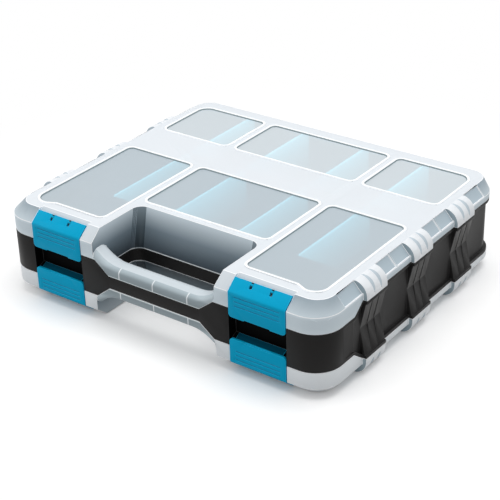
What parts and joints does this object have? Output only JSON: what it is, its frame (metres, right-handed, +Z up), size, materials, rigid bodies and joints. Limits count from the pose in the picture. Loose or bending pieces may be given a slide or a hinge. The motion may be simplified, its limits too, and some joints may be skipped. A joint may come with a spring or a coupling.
{
  "type": "small parts organizer box",
  "caption": "Flat two-sided carry organizer: a black tray with compartments on both faces, frosted lids with clear windows, snap latches, loose dividers and a front handle.",
  "frame": {"origin": "centre of the footprint, at the flat face it lies on", "axes": "+X to the right of someone facing the handle, +Y from the handle to the hinges, +Z up through both lids"},
  "size_m": [0.32, 0.2668, 0.079],
  "materials": {
    "black_plastic": "satin",
    "frosted_plastic": "frosted, translucent, with clear windows",
    "cyan_plastic": "satin",
    "steel": "plain",
    "blue_clear_plastic": "clear tinted"
  },
  "bodies": {
    "tray": {"tray_body": "black_plastic", "upper_hinge_pin": "steel", "lower_hinge_pin": "steel", "upper_front_divider_1": "blue_clear_plastic", "upper_front_divider_2": "blue_clear_plastic", "upper_front_divider_3": "blue_clear_plastic", "upper_front_divider_4": "blue_clear_plastic", "upper_rear_divider_1": "blue_clear_plastic", "upper_rear_divider_2": "blue_clear_plastic", "upper_rear_divider_3": "blue_clear_plastic", "upper_rear_divider_4": "blue_clear_plastic", "lower_front_divider_1": "blue_clear_plastic", "lower_front_divider_2": "blue_clear_plastic", "lower_front_divider_3": "blue_clear_plastic", "lower_front_divider_4": "blue_clear_plastic", "lower_rear_divider_1": "blue_clear_plastic", "lower_rear_divider_2": "blue_clear_plastic", "lower_rear_divider_3": "blue_clear_plastic"},
    "upper_lid": {"upper_lid": "frosted_plastic"},
    "lower_lid": {"lower_lid": "frosted_plastic"},
    "upper_left_latch": {"upper_left_latch": "cyan_plastic"},
    "upper_right_latch": {"upper_right_latch": "cyan_plastic"},
    "lower_left_latch": {"lower_left_latch": "cyan_plastic"},
    "lower_right_latch": {"lower_right_latch": "cyan_plastic"}
  },
  "joints": [
    {"name": "upper_lid_hinge", "type": "hinge", "parent": "tray", "child": "upper_lid", "pos_m": [0, 0.1309, 0.0643], "axis": [-1, 0, 0], "range_deg": [0, 120]},
    {"name": "lower_lid_hinge", "type": "hinge", "parent": "tray", "child": "lower_lid", "pos_m": [0, 0.1309, 0.0147], "axis": [1, 0, 0], "range_deg": [0, 120]},
    {"name": "upper_left_latch_pivot", "type": "hinge", "parent": "upper_lid", "child": "upper_left_latch", "pos_m": [-0.098, -0.12458, 0.07571], "axis": [-1, 0, 0], "range_deg": [0, 95]},
    {"name": "upper_right_latch_pivot", "type": "hinge", "parent": "upper_lid", "child": "upper_right_latch", "pos_m": [0.098, -0.12458, 0.07571], "axis": [-1, 0, 0], "range_deg": [0, 95]},
    {"name": "lower_left_latch_pivot", "type": "hinge", "parent": "lower_lid", "child": "lower_left_latch", "pos_m": [-0.098, -0.12458, 0.00329], "axis": [1, 0, 0], "range_deg": [0, 95]},
    {"name": "lower_right_latch_pivot", "type": "hinge", "parent": "lower_lid", "child": "lower_right_latch", "pos_m": [0.098, -0.12458, 0.00329], "axis": [1, 0, 0], "range_deg": [0, 95]}
  ]
}
